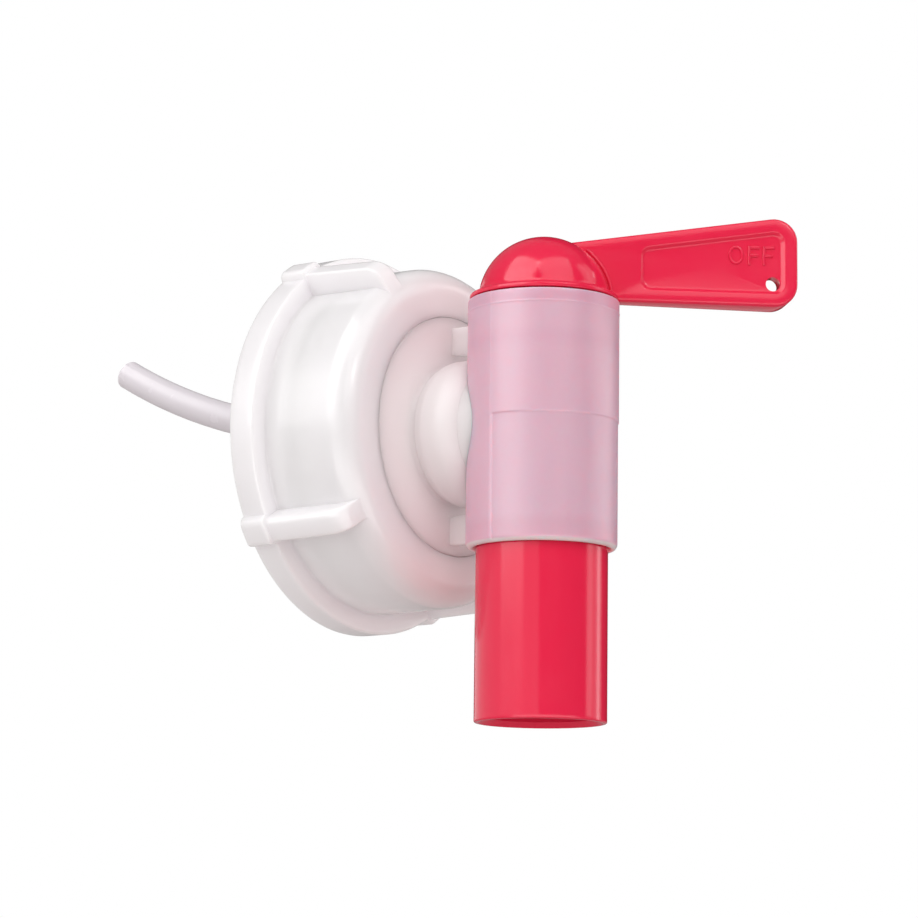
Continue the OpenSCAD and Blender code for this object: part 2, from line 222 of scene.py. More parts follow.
def moulding_group():
    """Cloudy colour, uneven gloss and fine surface grain of moulded plastic, from Object coordinates."""
    tree = bpy.data.node_groups.new("moulded_plastic", "ShaderNodeTree")
    for name, kind in (
        ("Colour", "NodeSocketColor"), ("Cloud Colour", "NodeSocketColor"), ("Cloud", "NodeSocketFloat"),
        ("Roughness", "NodeSocketFloat"), ("Grain", "NodeSocketFloat"), ("Stretch", "NodeSocketVector"),
    ):
        tree.interface.new_socket(name=name, in_out="INPUT", socket_type=kind)
    for name, kind in (
        ("Colour", "NodeSocketColor"), ("Roughness", "NodeSocketFloat"), ("Normal", "NodeSocketVector"),
    ):
        tree.interface.new_socket(name=name, in_out="OUTPUT", socket_type=kind)
    entry = tree.nodes.new("NodeGroupInput")
    exit_node = tree.nodes.new("NodeGroupOutput")
    place = tree.nodes.new("ShaderNodeTexCoord")
    cloud = tree.nodes.new("ShaderNodeTexNoise")
    cloud.inputs["Scale"].default_value = 45.0
    cloud.inputs["Detail"].default_value = 3.0
    amount = tree.nodes.new("ShaderNodeMath")
    amount.operation = "MULTIPLY"
    blend = tree.nodes.new("ShaderNodeMix")
    blend.data_type = "RGBA"
    streak = tree.nodes.new("ShaderNodeTexNoise")
    streak.inputs["Scale"].default_value = 220.0
    streak.inputs["Detail"].default_value = 4.0
    uneven = tree.nodes.new("ShaderNodeMapRange")
    uneven.inputs["From Min"].default_value = 0.3
    uneven.inputs["From Max"].default_value = 0.7
    uneven.inputs["To Min"].default_value = -0.02
    uneven.inputs["To Max"].default_value = 0.03
    total = tree.nodes.new("ShaderNodeMath")
    total.operation = "ADD"
    grain = tree.nodes.new("ShaderNodeTexNoise")
    grain.inputs["Scale"].default_value = 900.0
    grain.inputs["Detail"].default_value = 2.0
    wave = tree.nodes.new("ShaderNodeTexNoise")
    wave.inputs["Scale"].default_value = 70.0
    wave.inputs["Detail"].default_value = 1.0
    both = tree.nodes.new("ShaderNodeMath")
    both.operation = "MULTIPLY_ADD"
    both.inputs[1].default_value = 0.12
    bump = tree.nodes.new("ShaderNodeBump")
    bump.inputs["Distance"].default_value = 0.00015
    stretched = tree.nodes.new("ShaderNodeVectorMath")
    stretched.operation = "MULTIPLY"
    link(tree, place.outputs["Object"], stretched.inputs[0])
    link(tree, entry.outputs["Stretch"], stretched.inputs[1])
    link(tree, stretched.outputs[0], cloud.inputs["Vector"])
    link(tree, stretched.outputs[0], streak.inputs["Vector"])
    for texture in (grain, wave):
        link(tree, place.outputs["Object"], texture.inputs["Vector"])
    link(tree, cloud.outputs["Fac"], amount.inputs[0])
    link(tree, entry.outputs["Cloud"], amount.inputs[1])
    link(tree, amount.outputs[0], blend.inputs["Factor"])
    link(tree, entry.outputs["Colour"], blend.inputs["A"])
    link(tree, entry.outputs["Cloud Colour"], blend.inputs["B"])
    link(tree, blend.outputs["Result"], exit_node.inputs["Colour"])
    link(tree, streak.outputs["Fac"], uneven.inputs["Value"])
    link(tree, uneven.outputs["Result"], total.inputs[0])
    link(tree, entry.outputs["Roughness"], total.inputs[1])
    link(tree, total.outputs[0], exit_node.inputs["Roughness"])
    link(tree, grain.outputs["Fac"], both.inputs[0])
    link(tree, wave.outputs["Fac"], both.inputs[2])
    link(tree, both.outputs[0], bump.inputs["Height"])
    link(tree, entry.outputs["Grain"], bump.inputs["Strength"])
    link(tree, bump.outputs["Normal"], exit_node.inputs["Normal"])
    return tree


def height_band_group():
    """Mask of 1 between two heights in metres, which fades out softly, from Object coordinates."""
    tree = bpy.data.node_groups.new("height_band", "ShaderNodeTree")
    for name in ("Low", "High", "Soft", "Strength"):
        tree.interface.new_socket(name=name, in_out="INPUT", socket_type="NodeSocketFloat")
    tree.interface.new_socket(name="Mask", in_out="OUTPUT", socket_type="NodeSocketFloat")
    entry = tree.nodes.new("NodeGroupInput")
    exit_node = tree.nodes.new("NodeGroupOutput")
    place = tree.nodes.new("ShaderNodeTexCoord")
    split = tree.nodes.new("ShaderNodeSeparateXYZ")
    link(tree, place.outputs["Object"], split.inputs[0])
    edges = []
    for side, first, second in ((-1, "Low", "Low"), (1, "High", "High")):
        start = tree.nodes.new("ShaderNodeMath")
        start.operation = "SUBTRACT"
        end = tree.nodes.new("ShaderNodeMath")
        end.operation = "ADD"
        for node in (start, end):
            link(tree, entry.outputs[first], node.inputs[0])
            link(tree, entry.outputs["Soft"], node.inputs[1])
        edge = tree.nodes.new("ShaderNodeMapRange")
        edge.interpolation_type = "SMOOTHSTEP"
        edge.inputs["To Min"].default_value = 0.0 if side < 0 else 1.0
        edge.inputs["To Max"].default_value = 1.0 if side < 0 else 0.0
        link(tree, split.outputs["Z"], edge.inputs["Value"])
        link(tree, start.outputs[0], edge.inputs["From Min"])
        link(tree, end.outputs[0], edge.inputs["From Max"])
        edges.append(edge)
    both = tree.nodes.new("ShaderNodeMath")
    both.operation = "MULTIPLY"
    scaled = tree.nodes.new("ShaderNodeMath")
    scaled.operation = "MULTIPLY"
    link(tree, edges[0].outputs["Result"], both.inputs[0])
    link(tree, edges[1].outputs["Result"], both.inputs[1])
    link(tree, both.outputs[0], scaled.inputs[0])
    link(tree, entry.outputs["Strength"], scaled.inputs[1])
    link(tree, scaled.outputs[0], exit_node.inputs["Mask"])
    return tree


def tint_band(material, group, colour, low, high, soft, strength):
    """Lay another colour over a plastic between two heights given in millimetres."""
    tree = material.node_tree
    shader = tree.nodes["Principled BSDF"]
    below = shader.inputs["Base Color"].links[0].from_socket
    band = tree.nodes.new("ShaderNodeGroup")
    band.node_tree = group
    for name, value in (("Low", low * MM), ("High", high * MM), ("Soft", soft * MM), ("Strength", strength)):
        band.inputs[name].default_value = value
    mix = tree.nodes.new("ShaderNodeMix")
    mix.data_type = "RGBA"
    mix.inputs["B"].default_value = (*colour, 1)
    link(tree, band.outputs["Mask"], mix.inputs["Factor"])
    link(tree, below, mix.inputs["A"])
    link(tree, mix.outputs["Result"], shader.inputs["Base Color"])


def plastic(name, group, colour, cloud_colour, cloud, roughness, grain, scatter=0.0, scatter_mm=2.0, gloss=0.5, spread=(1, 1, 1), stretch=(1, 1, 1)):
    """A moulded plastic with its own colours, gloss and see-through depth."""
    material = bpy.data.materials.new(name)
    material.use_nodes = True
    tree = material.node_tree
    shader = tree.nodes["Principled BSDF"]
    block = tree.nodes.new("ShaderNodeGroup")
    block.node_tree = group
    block.name = "moulding"
    block.inputs["Colour"].default_value = (*colour, 1)
    block.inputs["Cloud Colour"].default_value = (*cloud_colour, 1)
    block.inputs["Cloud"].default_value = cloud
    block.inputs["Roughness"].default_value = roughness
    block.inputs["Grain"].default_value = grain
    block.inputs["Stretch"].default_value = stretch
    link(tree, block.outputs["Colour"], shader.inputs["Base Color"])
    link(tree, block.outputs["Roughness"], shader.inputs["Roughness"])
    link(tree, block.outputs["Normal"], shader.inputs["Normal"])
    shader.inputs["IOR"].default_value = 1.5
    shader.inputs["Specular IOR Level"].default_value = gloss
    if scatter:
        shader.inputs["Subsurface Weight"].default_value = scatter
        shader.inputs["Subsurface Radius"].default_value = spread
        shader.inputs["Subsurface Scale"].default_value = scatter_mm * MM
    return material


GROUP = moulding_group()
CAP_PLASTIC = plastic("milky_cap_plastic", GROUP, (0.86, 0.85, 0.865), (0.84, 0.81, 0.825), 0.5, 0.2, 0.06, 1.0, 4.0)
BODY_PLASTIC = plastic("milky_body_plastic", GROUP, (0.82, 0.785, 0.79), (0.8, 0.735, 0.73), 0.5, 0.35, 0.05, 1.0, 4.0, 0.35)
SLEEVE_PLASTIC = plastic("sleeve_plastic", GROUP, (0.88, 0.45, 0.555), (0.85, 0.39, 0.49), 0.5, 0.38, 0.1, 1.0, 6.0, 0.9, (1, 0.25, 0.28), (2.5, 2.5, 0.4))
PLUG_PLASTIC = plastic("red_plug_plastic", GROUP, (0.82, 0.018, 0.07), (0.74, 0.013, 0.054), 0.4, 0.15, 0.08, 0.15, 1.0, 0.4)
TUBE_PLASTIC = plastic("milky_tube_plastic", GROUP, (0.77, 0.73, 0.77), (0.71, 0.66, 0.7), 0.6, 0.25, 0.15, 0.3, 1.5)
SEAL_RUBBER = plastic("dark_seal_rubber", GROUP, (0.02, 0.02, 0.022), (0.05, 0.05, 0.052), 0.7, 0.55, 0.5)
BAND = height_band_group()
tint_band(SLEEVE_PLASTIC, BAND, (0.8, 0.34, 0.46), 20.4, 23.5, 0.15, 0.6)
tint_band(SLEEVE_PLASTIC, BAND, (0.8, 0.36, 0.48), 12.8, 15.2, 1.5, 0.35)
tint_band(SLEEVE_PLASTIC, BAND, (0.82, 0.36, 0.46), -23.0, -18.0, 1.2, 0.5)
# Painted highlight: the rounded bottom rim is painted pale, standing in for the light it catches from below
tint_band(SLEEVE_PLASTIC, BAND, (0.87, 0.72, 0.68), -23.0, -21.5, 0.2, 0.7)


# Screw cap
def rib_angles():
    """Angles round the cap: coarse steps, and fine ones across each rib and its edges."""
    across = np.array([
        -4.0, -3.1, -2.75, -2.6, -2.5, -2.3, -2.15, -2.05, -2.0, -1.9, -1.75, -1.55, -1.3, -1.1, -0.9, -0.7, -0.3, 0.2,
        0.7, 1.2, 1.6, 1.8, 1.95, 2.05, 2.15, 2.2, 2.28, 2.35, 2.5, 2.6, 2.68, 2.75, 3.1, 4.0,
    ]) / 33.0
    centres = np.radians([33, 123, 213, 303])
    fine = (centres[:, None] + across[None]).ravel()
    coarse = turns(240)
    away = np.abs(np.angle(np.exp(1j * (coarse[:, None] - centres[None])))).min(1)
    return np.sort(np.concatenate([coarse[away > 4.4 / 33.0], fine])), centres


def cap_profile():
    """Cap's closed section as radius and depth, with a mark on the points that ribs stand on.

    From the mouth's outer edge: flange and its flat front face, hollow corner, side wall, front rounding,
    front face, hole edge, lip, then the inner wall back to the mouth."""
    outer = np.concatenate([
        arc((34.6, 0.4), 0.4, -90, 0, 5), arc((34.6, 4.9), 0.4, 0, 90, 6),
        arc((31.75, 5.75), 0.45, -90, -180, 5), arc((26.5, 19.05), 4.6, 0, 90, 26),
    ])
    inner = np.concatenate([
        arc((22.02, 23.53), 0.12, 90, 180, 5), arc((22.2, 20.95), 0.3, 180, 270, 4),
        [[28.1, 20.65], [28.1, 15.2], [29.7, 14.8]], arc((30.3, 0.6), 0.6, 180, 270, 5),
    ])
    outer, inner = densify(outer, 0.7), densify(inner, 0.35)
    marks = np.concatenate([np.ones(len(outer)), np.zeros(len(inner))])
    return np.concatenate([outer, inner]), marks


def rib_crest(profile):
    """Where the section's outer points go on a rib's crest, as radius and depth.

    Along flange and side wall the crest is a straight line. Over the first 30 degrees of the front rounding
    it makes a tighter quarter round, up to 50 degrees its end face comes back in, and then it is gone."""
    radius, depth = profile[:, 0], profile[:, 1]
    bend = np.degrees(np.arctan2(depth - 19.05, radius - 26.5))
    bend = np.where(depth > 19.05, bend, 0)
    tight = np.radians(np.clip(bend / 30, 0, 1) * 90)
    back = np.clip((bend - 30) / 20, 0, 1)
    end_r, end_d = 26.5 + 4.6 * math.cos(math.radians(50)), 19.05 + 4.6 * math.sin(math.radians(50))
    face = np.clip((34.6 - radius) / 3.3, 0, 1)
    straight = np.where(depth < 5.76, np.where(radius < 34.6, 5.3 + 0.46 * face, depth), 5.76 + (depth - 5.76) * 12.79 / 13.29)
    crest_r = np.where(bend > 0, 31.6 + 3.4 * np.cos(tight), 35.9 - 0.9 * straight / 18.55)
    crest_d = np.where(bend > 0, 18.55 + 3.4 * np.sin(tight), straight)
    crest_r = crest_r + back * (end_r - crest_r)
    crest_d = crest_d + back * (end_d - crest_d)
    gone = bend > 50
    return np.where(gone, radius, crest_r), np.where(gone, depth, crest_d)


def across_rib(place, low, low_round, high, high_round, height):
    """Share of the full height across a rib: 1 on its crest, a round edge each side, and 0 beside its feet."""
    falling = np.clip((place - high + high_round) / high_round, 0, 1)
    rising = np.clip((-place - low + low_round) / low_round, 0, 1)
    edge = 1 - (1 - np.sqrt(1 - falling ** 2)) * high_round / height
    edge = edge - (1 - np.sqrt(1 - rising ** 2)) * low_round / height
    beside = 1 - smooth_step(place, high, high + 0.15)
    return edge * beside * (1 - smooth_step(-place, low, low + 0.15))


def make_cap():
    """The section carried round the cap's axis. Ribs and bosses pull the outer points out to their crests.

    Across a rib the pull is 1 on its crest, falls off round its two edges and is 0 beside it.
    The thread is a ridge on the inner wall whose place along the axis grows evenly with the angle."""
    angles, centres = rib_angles()
    profile, marks = cap_profile()
    radius = profile[:, 0][None] + 0 * angles[:, None]
    depth = profile[:, 1][None] + 0 * angles[:, None]
    crest_r, crest_d = rib_crest(profile)
    signed = np.angle(np.exp(1j * (angles[:, None] - centres[None])))
    nearest = np.abs(signed).argmin(1)
    place = signed[np.arange(len(angles)), nearest] * 33.0
    rib = across_rib(place, 2.0, 1.3, 2.2, 0.4, 4.3)[:, None]
    boss = across_rib(place, 2.6, 1.45, 2.6, 1.0, 1.5)[:, None]
    mark = marks[None]
    pulled = radius + rib * np.clip(crest_r[None] - radius, 0, None)
    boss_rise = 1.5 * np.clip((radius - 31.8) / 2.8, 0, 1) * (1 - smooth_step(depth, 5.31, 5.34))
    bossed = radius + boss * boss_rise
    moved = depth + rib * (crest_d[None] - depth)
    depth = np.where((mark > 0) & (pulled >= bossed), moved, depth)
    radius = np.where(mark > 0, np.maximum(pulled, bossed), radius)
    phase = (profile[:, 1][None] / 4.0 + angles[:, None] / (2 * math.pi)) % 1.0
    ridge = smooth_step(phase, 0.28, 0.42) * (1 - smooth_step(phase, 0.58, 0.72))
    run = smooth_step(profile[:, 1], 1.4, 2.6) * (1 - smooth_step(profile[:, 1], 12.2, 13.4))
    run = run * (marks < 1) * (profile[:, 0] > 29.5)
    radius = radius + 0.45 * (1 - ridge) * run[None]
    angle = angles[:, None] + 0 * depth
    surface = grid(round_y_points(radius, depth, angle))
    cap = make_object("screw_cap_shell", surface, CAP_PLASTIC, 50)
    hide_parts("screw_cap")
    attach(cap, "screw_cap")


# Tap body
def stop_at_sleeve(points):
    """Points in front of the middle of the sleeve's wall are pulled back onto it, so a tube ends inside the wall."""
    limit = np.sqrt(np.clip(WALL_MIDDLE_R ** 2 - points[..., 0] ** 2, 0, None))
    points[..., 1] = np.maximum(points[..., 1], -BARREL_OFFSET + limit)
    return points


def make_hub():
    """Flange, hub and neck as one closed section carried round the cap's axis."""
    profile = np.concatenate([
        [[9.8, 18.0], [11.6, 17.95], [11.6, 21.0], [12.0, 21.25], [18.8, 21.25], [19.2, 20.9]],
        [[19.2, 17.95]], arc((27.5, 18.25), 0.3, -90, 0, 4), arc((27.5, 20.05), 0.3, 0, 90, 4),
        [[21.86, 20.35], [21.85, 23.4]], arc((21.72, 23.52), 0.13, 0, 90, 5), [[13.4, 23.65]],
        arc((13.4, 24.65), 1.0, -90, -152, 6), arc((10.1, 26.95), 3.3, -26, 0, 10), arc((7.0, 28.65), 6.4, 0, 43.8, 14),
        [[11.6, 34.5], [11.6, 42.0], [9.8, 42.0]],
    ])
    profile = np.concatenate([densify(profile, 0.6), densify(np.array([[9.8, 41.4], [9.8, 18.6]]), 0.6)])
    angle = turns(240)[:, None] + 0 * profile[:, 0][None]
    points = round_y_points(profile[:, 0][None], profile[:, 1][None], angle)
    return make_object("hub", grid(stop_at_sleeve(points)), BODY_PLASTIC)


def make_socket():
    """Air tube's socket and passage as a closed section carried round its own axis."""
    profile = np.concatenate([
        arc((3.9, 8.25), 0.25, -90, 0, 4), [[4.15, 42.0], [1.5, 42.0], [1.5, 15.0], [2.85, 15.0], [2.85, 8.3], [3.1, 8.0]],
    ])
    profile = densify(profile, 0.6)
    angle = turns(64)[:, None] + 0 * profile[:, 0][None]
    points = round_y_points(profile[:, 0][None], profile[:, 1][None], angle, TUBE_Z)
    return make_object("socket", grid(stop_at_sleeve(points)), BODY_PLASTIC)


def plate(outline, half, edge):
    """Closed flat plate: the outline, drawn in by the edge radius on both faces, with a quarter round between."""
    before = outline - np.roll(outline, 1, 0)
    after = np.roll(outline, -1, 0) - outline
    along = before / np.linalg.norm(before, axis=1)[:, None] + after / np.linalg.norm(after, axis=1)[:, None]
    along /= np.linalg.norm(along, axis=1)[:, None]
    inward = np.stack([-along[:, 1], along[:, 0]], 1)
    centre = outline.mean(0)
    inward *= np.sign(((centre - outline) * inward).sum(1))[:, None]
    turn = np.radians(np.linspace(0, 90, 5))
    inset = np.concatenate([edge * (1 - np.sin(turn))[::1], edge * (1 - np.cos(turn))])
    lift = np.concatenate([half - edge * (1 - np.cos(turn)), -half + edge * (1 - np.sin(turn))])
    rings = outline[:, None] + inward[:, None] * inset[None, :, None]
    flat = np.concatenate([rings, np.repeat(lift[None, :, None], len(outline), 0)], 2)
    pole = np.tile(centre, (len(outline), 1))
    top = np.concatenate([pole, np.full((len(outline), 1), half)], 1)[:, None]
    low = np.concatenate([pole, np.full((len(outline), 1), -half)], 1)[:, None]
    return np.concatenate([top, flat, low], 1)


def make_brace(side):
    """Thin upright plate between hub and sleeve, above (side 1) or below (side -1) the neck."""
    outline = rounded([(23.2, 15.0, 0.36), (23.2, 20.0, 0.36), (30.8, 20.0, 0.36), (30.8, 14.0, 0.36)], 5, 4)
    flat = plate(outline, 1.0, 0.3)
    points = np.stack([flat[..., 2], -flat[..., 0], side * flat[..., 1]], -1)
    return make_object("brace", grid(points, True, False), BODY_PLASTIC)


def make_sleeve():
    """Closed section of radius and height carried round the barrel's axis.

    Below the ledge the front half lies back a little, and two thin seams run down where the mould parted."""
    profile = np.concatenate([
        arc((12.55, SLEEVE_BOTTOM + 1.0), 1.0, -100, 0, 12), arc((13.32, SLEEVE_TOP - 0.25), 0.25, 0, 90, 4),
        arc((12.2, SLEEVE_TOP - 0.25), 0.25, 90, 180, 4), [[BORE_R, SLEEVE_BOTTOM + 1.0], [12.16, SLEEVE_BOTTOM + 0.25]],
    ])
    profile = densify(np.concatenate([profile, profile[:1]]), 0.5)[:-1]
    for first, heights in ((0.1, (0.3, 0.45, 0.55, 0.65, 0.8, 0.95)), (19.8, (19.95, 20.1, 20.2, 20.3, 20.4, 20.5, 20.65))):
        outside = (profile[:, 0] > 13.5) & (profile[:, 1] > first) & (profile[:, 1] < first + 1.0)
        profile = profile[~outside]
        place = np.searchsorted(profile[: len(profile) // 2, 1], first)
        rows = np.stack([np.full(len(heights), SLEEVE_R), np.array(heights)], 1)
        profile = np.insert(profile, place, rows, 0)
    fine = np.radians(np.concatenate([np.linspace(0, 16, 34), np.linspace(164, 180, 34)]))
    coarse = turns(180)
    away = np.abs(np.angle(np.exp(1j * (coarse[:, None] - fine[None])))).min(1)
    angles = np.sort(np.concatenate([coarse[away > math.radians(0.9)], fine]))
    angle = angles[:, None]
    radius, height = profile[:, 0][None] + 0 * angle, profile[:, 1][None] + 0 * angle
    outer = smooth_step(radius, 12.9, 13.4)
    front = smooth_step(-np.sin(angle), -0.106, -0.086)
    below = 1 - smooth_step(height, 0.5, 0.7)
    radius = radius - 0.15 * outer * front * below
    left = np.abs(np.angle(np.exp(1j * (angle - math.radians(172)))))
    right = np.abs(np.angle(np.exp(1j * (angle - math.radians(8)))))
    seam = np.exp(-(np.minimum(left, right) / math.radians(0.5)) ** 2)
    line = np.exp(-((height - 20.3) / 0.16) ** 2)
    radius = radius + (0.04 * seam + 0.06 * line) * outer
    points = np.stack([radius * np.cos(angle), radius * np.sin(angle) - BARREL_OFFSET, height], -1)
    sleeve = make_object("sleeve", grid(points), SLEEVE_PLASTIC)
    port = make_object("port_cutter", tube_along_y(4.2, 27.0, 40.0, -5.4))
    air = make_object("air_cutter", tube_along_y(1.5, 27.0, 40.0, TUBE_Z))
    combine(sleeve, [port, air])
    return sleeve


def tube_along_y(radius, first, last, z):
    """Closed cylinder along Y between two depths, with its ends drawn together at the axis."""
    profile = np.array([[0, first], [radius, first], [radius, last], [0, last]], float)
    angle = turns(48)[:, None] + 0 * profile[:, 0][None]
    return grid(round_y_points(profile[:, 0][None], profile[:, 1][None], angle, z), True, False)


def make_body():
    """Milky body: hub, socket and braces as one piece, and the sleeve as another, on the same body."""
    hub = make_hub()
    combine(hub, [make_socket(), make_brace(1), make_brace(-1)], "UNION")
    hub.name = "hub_and_neck"
    sleeve = make_sleeve()
    sleeve.name = "barrel_sleeve"
    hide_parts("tap_body")
    for part in (hub, sleeve):
        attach(part, "tap_body")


# Lever
def half_thickness(reach):
    """Half the blade's thickness, which grows evenly along its reach."""
    return 1.65 + 1.5 * reach / 46.0


def blade_place(reach, height, lift, side):
    """Point of the blade from its reach, its height and the lift from its middle plane, turned to the closed position."""
    across = side * lift + 0 * reach
    x = reach * math.cos(LEVER_ANGLE) - across * math.sin(LEVER_ANGLE)
    y = reach * math.sin(LEVER_ANGLE) + across * math.cos(LEVER_ANGLE) - BARREL_OFFSET
    return np.stack([x, y, height + 0 * x], -1)


def ring(left, foot, right, top, radii, root=False):
    """Rounded outline of four corners: level foot and a top that climbs by 0.1548 of the reach.

    At the root the left edge follows a circle inside the dome."""
    corners = [
        (left, foot, radii[0]), (right, foot, radii[1]),
        (right, top + 0.1548 * right, radii[1]), (left, top + 0.1548 * left, radii[0]),
    ]
    line = rounded(corners, 11, 13)
    if root:
        inside = np.sqrt(np.clip(11.2 ** 2 - (line[:, 1] - SLEEVE_TOP) ** 2, 0, None))
        line[:, 0] = np.maximum(line[:, 0], inside)
    return line


def make_blade():
    """Closed blade: rings from the middle of one face, over the panel's floor and border, the rim and the
    rounded edge, to the middle of the other face."""
    top = 32.8
    edge = 0.7
    turn = np.radians(np.linspace(90, 0, 7))
    rings, depths = [], []
    for inset, depth in ((1.05, 0.7), (0.8, 0.68), (0.6, 0.56), (0.25, 0.16), (0.1, 0.04), (-0.05, 0.0)):
        rings.append(ring(17.1 + inset, 25.1 + inset, 43.7 - inset, top - 2.35 - inset, (2.0 - inset * 0.8, 2.0 - inset * 0.8)))
        depths.append(np.full(len(rings[0]), depth))
    for a in turn:
        inset = edge * (1 - math.cos(a))
        rings.append(ring(3.5, 23.0 + inset, 46.0 - inset, top - inset * 1.01, (0.02, 4.2 - inset), True))
        depths.append(np.full(len(rings[0]), edge * (1 - math.sin(a))))
    rings, depths = np.array(rings), np.array(depths)
    pole = np.tile(rings[0].mean(0), (1, rings.shape[1], 1))
    rings = np.concatenate([pole, rings])
    depths = np.concatenate([depths[:1], depths])
    reach, height = rings[..., 0], rings[..., 1]
    lift = half_thickness(reach) - depths
    front = blade_place(reach, height, lift, -1)
    back = blade_place(reach, height, lift, 1)[::-1]
    points = np.concatenate([front, back]).transpose(1, 0, 2)
    blade = make_object("blade", grid(points, True, False), PLUG_PLASTIC, 50)
    profile = np.array([[0, -6.0], [1.3, -6.0], [1.3, 0.5], [1.9, 2.5], [1.9, 6.0], [0, 6.0]])
    angle = turns(48)[:, None] + 0 * profile[:, 0][None]
    reach = 41.5 + profile[:, 0][None] * np.cos(angle)
    height = 27.2 + profile[:, 0][None] * np.sin(angle)
    cutter = make_object("tie_cutter", grid(blade_place(reach, height, profile[:, 1][None], 1), True, False))
    combine(blade, [cutter], "DIFFERENCE", 50)
    return blade


def make_bead(side):
    """Thin round bead where one face of the blade meets the dome: a circle carried along their common curve."""
    height = np.linspace(0.2, 9.6, 60)
    reach = np.full_like(height, 10.0)
    for step in range(4):
        reach = np.sqrt(12.3 ** 2 - height ** 2 - half_thickness(reach) ** 2)
    turn = turns(12)[:, None]
    out_r, out_h = reach / 12.3, height / 12.3
    path = reach[None] + 0.32 * np.cos(turn) * out_r[None]
    rise = SLEEVE_TOP + height[None] + 0.32 * np.cos(turn) * out_h[None]
    lift = half_thickness(reach)[None] + 0.32 * np.sin(turn)
    line = blade_place(path, rise, lift, side)
    ends = line.mean(0)[[0, -1]]
    start, stop = np.tile(ends[0], (12, 1, 1)), np.tile(ends[1], (12, 1, 1))
    return make_object("bead", grid(np.concatenate([start, line, stop], 1), True, False), PLUG_PLASTIC, 60)


def stroke(line, width, side, mirror_at=None):
    """Raised letter stroke: a flat outline lifted off the panel's floor with a rounded edge."""
    flat = plate(line, 0.3, 0.14)
    reach = flat[..., 0] if mirror_at is None else mirror_at - flat[..., 0]
    lift = half_thickness(reach) - 0.7 + flat[..., 2]
    return grid(blade_place(reach, flat[..., 1], lift, side), True, False)


def bar(x0, z0, x1, z1):
    """Outline of a straight stroke with rounded ends."""
    return rounded([(x0, z0, 0.12), (x1, z0, 0.12), (x1, z1, 0.12), (x0, z1, 0.12)], 4, 2)


def letter_ring(x, z, side, mirror_at=None):
    """Letter O: a small rounded section carried round an upright oval."""
    angle = turns(48)[:, None]
    section = np.radians(np.linspace(0, 360, 13)[:-1])[None]
    out, up = 0.24 * np.sign(np.cos(section)) * np.abs(np.cos(section)) ** 0.6, 0.3 * np.sin(section)
    flat_x = x + (1.15 + out) * np.cos(angle)
    flat_z = z + (1.5 + out) * np.sin(angle)
    reach = flat_x if mirror_at is None else mirror_at - flat_x
    lift = half_thickness(reach) - 0.7 + up
    return grid(blade_place(reach, flat_z, lift, side))


def letter_f(x, z):
    """Strokes of a letter F from the foot of its left side."""
    return [bar(x, z, x + 0.5, z + 3.5), bar(x + 0.1, z + 3.0, x + 2.2, z + 3.5), bar(x + 0.1, z + 1.5, x + 1.9, z + 2.0)]


def letter_n(x, z):
    """Strokes of a letter N from the foot of its left side."""
    slant = rounded([(x, z + 3.5, 0.1), (x + 0.55, z + 3.5, 0.1), (x + 2.5, z, 0.1), (x + 1.95, z, 0.1)], 4, 2)
    return [bar(x, z, x + 0.5, z + 3.5), bar(x + 2.0, z, x + 2.5, z + 3.5), slant]


def make_words():
    """OFF on the face seen when closed, ON on the other, as raised strokes."""
    foot = 30.6
    parts = [letter_ring(34.7, foot + 1.75, -1)]
    for line in letter_f(36.9, foot) + letter_f(39.6, foot):
        parts.append(stroke(line, 0.5, -1))
    parts.append(letter_ring(37.3, foot + 1.75, 1, 76.0))
    for line in letter_n(39.4, foot):
        parts.append(stroke(line, 0.5, 1, 76.0))
    return make_object("letters", joined(*parts), PLUG_PLASTIC)


# Plug
def make_barrel():
    """Dome, collar, barrel and spout as one section, then the spout's bore, carried round the barrel's axis."""
    base = SLEEVE_TOP + 0.3
    outer = np.concatenate([
        arc((0, SLEEVE_TOP), 11.8, 90, 10.5, 40),
        [[11.75, base + 1.35], [11.95, base + 1.1], [12.3, base + 0.95], [12.8, base + 0.85]],
        arc((13.0, base + 0.5), 0.3, 80, 0, 5), arc((13.1, base + 0.2), 0.2, 0, -90, 4), [[11.9, base]],
        [[11.9, -21.1], [11.4, -21.15], [11.4, -22.05], [11.75, -22.1]], arc((11.45, SPOUT_END + 0.3), 0.3, 0, -90, 5),
    ])
    inner = np.array([
        [11.1, SPOUT_END], [10.95, SPOUT_END + 0.15], [10.1, SPOUT_END + 1.0], [10.1, -1.1], [9.6, -0.5], [0, -0.5],
    ])
    profile = densify(np.concatenate([outer, inner]), 0.9)
    barrel = make_object("barrel", turn_round_z(profile, turns(192), 0, -BARREL_OFFSET, False), PLUG_PLASTIC)
    cutters = []
    for name, radius, first, last, z in (("port", 4.2, 8.6, 14.0, -5.4), ("air", 1.5, 8.0, 14.0, TUBE_Z)):
        profile = np.array([[0, first], [radius, first], [radius, last], [0, last]], float)
        angle = turns(48)[:, None]
        points = np.stack([
            -profile[:, 1][None] + 0 * angle, -BARREL_OFFSET + profile[:, 0][None] * np.cos(angle),
            z + profile[:, 0][None] * np.sin(angle),
        ], -1)
        cutters.append(make_object(name, grid(points, True, False)))
    combine(barrel, cutters)
    return barrel


def make_air_pipe():
    """Small pipe down the inside of the spout."""
    profile = np.array([[1.5, -0.6], [2.2, -0.4], [2.2, -40.5], [2.0, -40.9], [1.7, -40.9], [1.5, -40.7]])
    return make_object("air_pipe", turn_round_z(profile, turns(32), 8.2, -BARREL_OFFSET), PLUG_PLASTIC)


def make_plug():
    """Red plug: barrel, spout, collar, dome, lever and lettering as one piece."""
    plug = merge_objects("valve_plug_and_lever", [make_barrel(), make_air_pipe(), make_blade(), make_bead(-1), make_bead(1), make_words()])
    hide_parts("valve_plug")
    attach(plug, "valve_plug")


